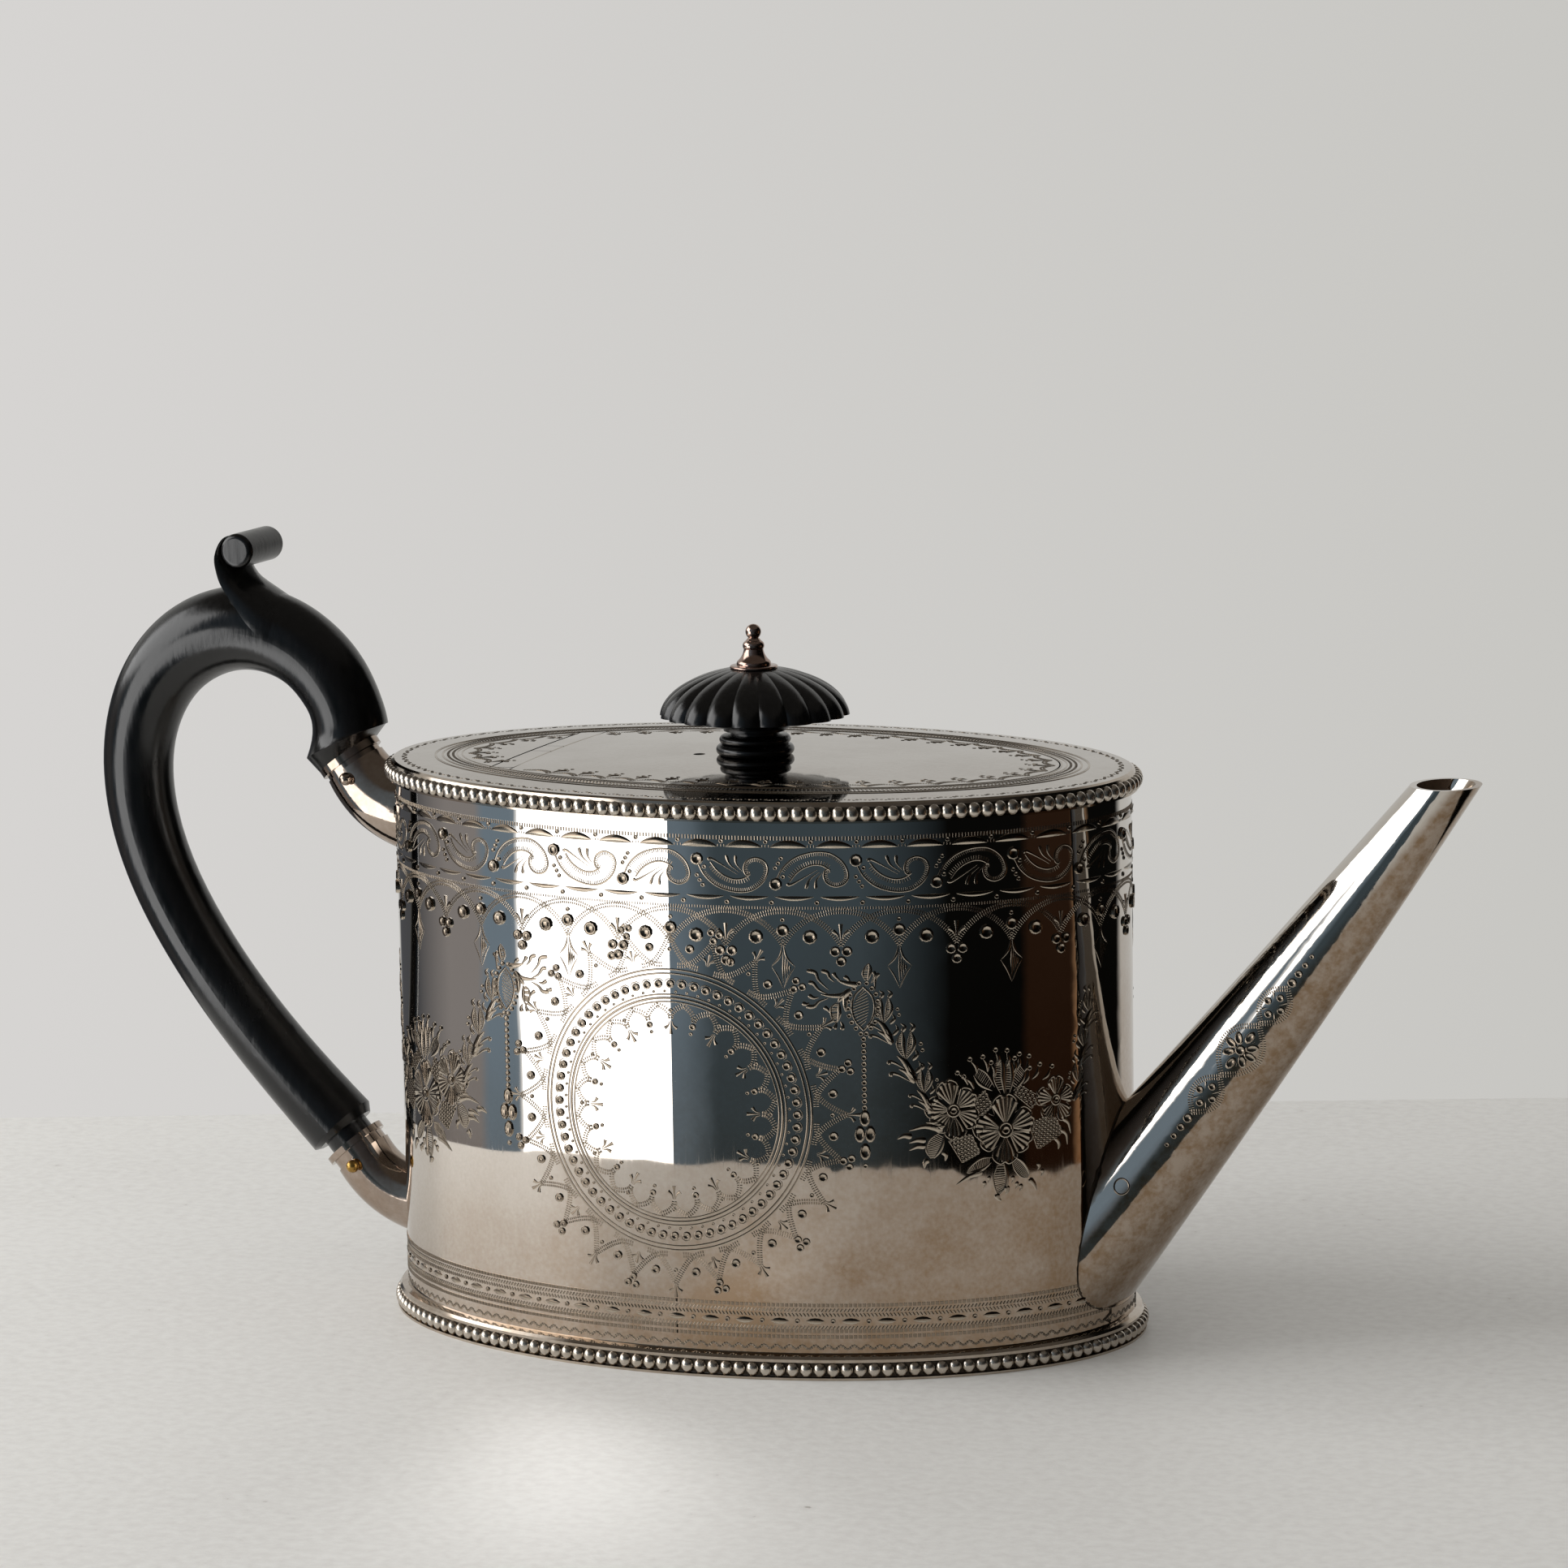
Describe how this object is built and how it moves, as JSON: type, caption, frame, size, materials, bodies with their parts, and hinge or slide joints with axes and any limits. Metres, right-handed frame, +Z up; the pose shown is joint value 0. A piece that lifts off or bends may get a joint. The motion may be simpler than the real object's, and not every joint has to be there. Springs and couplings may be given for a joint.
{
  "type": "teapot",
  "caption": "Oval drum teapot in polished silver with beaded edges, a straight tapering spout, an ebony loop handle and a flush hinged lid with a lobed ebony knob.",
  "frame": {"origin": "on the table, under the middle of the oval drum", "axes": "+X from the handle to the spout, +Z up"},
  "size_m": [0.2801, 0.1018, 0.1499],
  "materials": {
    "silver": "polished, lightly tarnished",
    "ebony": "worn satin",
    "brass": "worn"
  },
  "bodies": {
    "pot": {"body_wall": "silver", "base_plate": "silver", "foot_rim": "silver", "foot_beading": "silver", "top_plate": "silver", "top_rim": "silver", "top_beading": "silver", "lid_seat": "silver", "spout": "silver", "upper_socket": "silver", "upper_socket_collar": "silver", "upper_handle_pin": "silver", "lower_socket": "silver", "lower_socket_collar": "silver", "lower_handle_pin": "brass", "handle": "ebony", "hinge_body_leaf": "silver"},
    "lid": {"lid_plate": "silver", "lid_flange": "silver", "hinge_lid_leaf": "silver", "hinge_pin": "silver", "knob": "ebony", "knob_finial": "silver", "knob_washer": "silver", "knob_nut": "silver"}
  },
  "joints": [
    {"name": "lid_hinge", "type": "hinge", "parent": "pot", "child": "lid", "pos_m": [-0.0434, 0, 0.10688], "axis": [0, -1, 0], "range_deg": [0, 95]}
  ]
}
